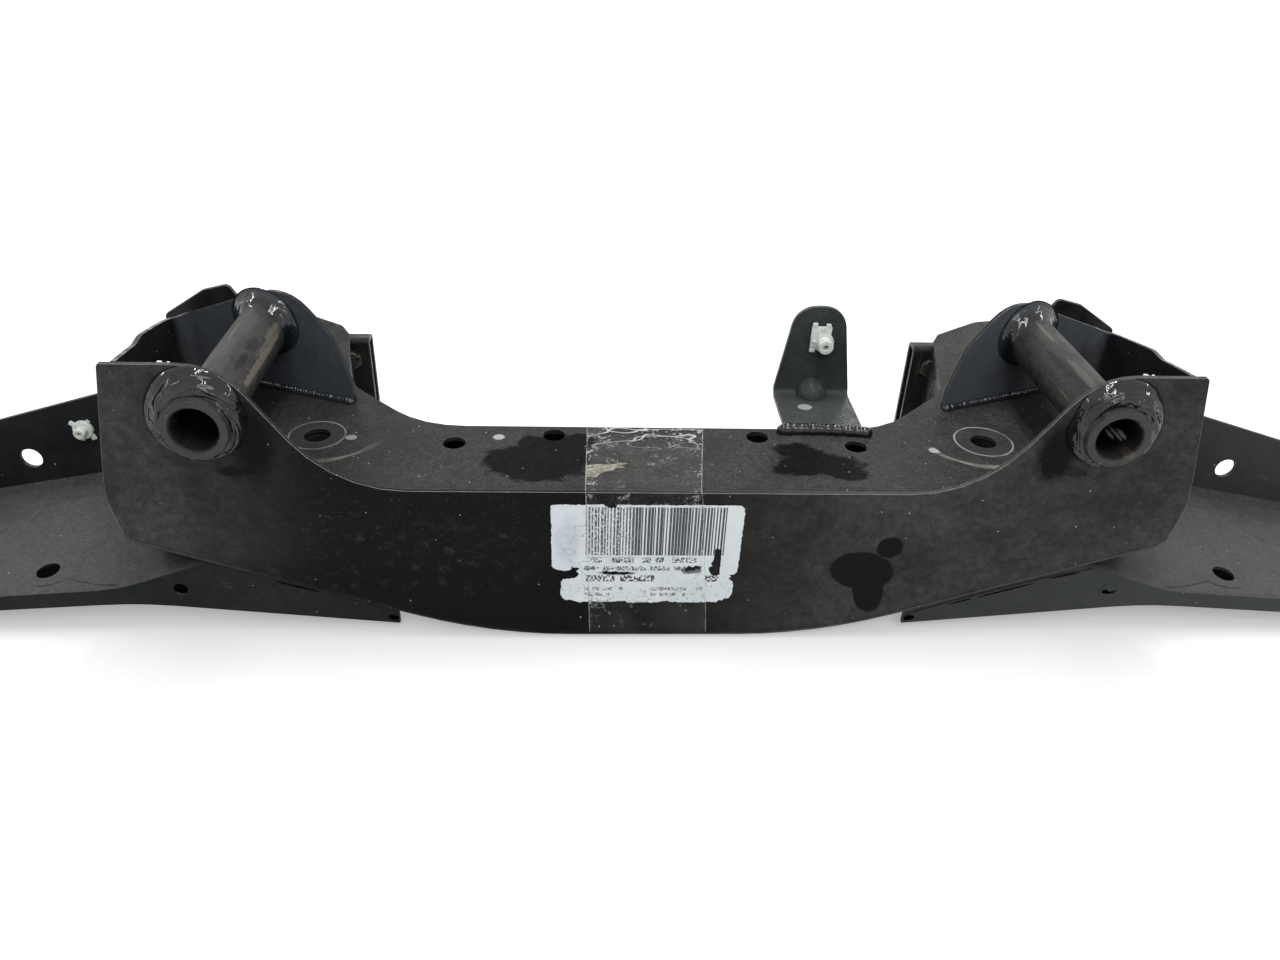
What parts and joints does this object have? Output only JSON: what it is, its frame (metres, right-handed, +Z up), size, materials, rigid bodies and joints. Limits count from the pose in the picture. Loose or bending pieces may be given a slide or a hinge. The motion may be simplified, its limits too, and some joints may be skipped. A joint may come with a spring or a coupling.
{
  "type": "subframe",
  "caption": "Pressed-steel subframe: box cross member with raised ears, bolt sleeves, rear arms, link brackets and side wings.",
  "frame": {"origin": "middle of the bounding box's footprint, at the height of the box's underside and the link brackets' feet", "axes": "+X along the subframe to its right seen from the plate that carries the label, +Y from that plate back to the arms, +Z up"},
  "size_m": [0.94, 0.252, 0.1752],
  "materials": {
    "plate_black": "satin black dip coat, olive-brown cast, scuffed",
    "dusty_black": "black dip coat under a film of grey-brown dust",
    "rear_black": "satin black dip coat, cool grey cast",
    "grimy_black": "black dip coat under brown road dirt",
    "tube_black": "black dip coat, dusty and scraped",
    "weld_black": "thick glossy coat over weld metal",
    "plated_steel": "dull plated steel",
    "ivory_plastic": "moulded ivory plastic",
    "label_paper": "worn white paper sticker"
  },
  "bodies": {
    "root": {"front_plate": "plate_black", "top_plate": "dusty_black", "rear_wall": "rear_black", "bottom_plate": "rear_black", "left_wing": "dusty_black", "right_wing": "dusty_black", "left_ear_plate": "rear_black", "right_ear_plate": "rear_black", "left_back_plate": "grimy_black", "right_back_plate": "grimy_black", "left_arm_wall": "rear_black", "right_arm_wall": "rear_black", "left_link_bracket": "grimy_black", "right_link_bracket": "grimy_black", "left_link_bolt": "plated_steel", "right_link_bolt": "plated_steel", "left_sleeve": "tube_black", "right_sleeve": "tube_black", "left_front_weld": "weld_black", "right_front_weld": "weld_black", "left_rear_weld": "weld_black", "right_rear_weld": "weld_black", "left_weld_nut": "plated_steel", "right_weld_nut": "plated_steel", "left_edge_clip": "ivory_plastic", "right_edge_clip": "ivory_plastic", "cable_bracket": "rear_black", "cable_clip": "ivory_plastic", "wing_clip": "ivory_plastic", "label": "label_paper"}
  },
  "joints": []
}
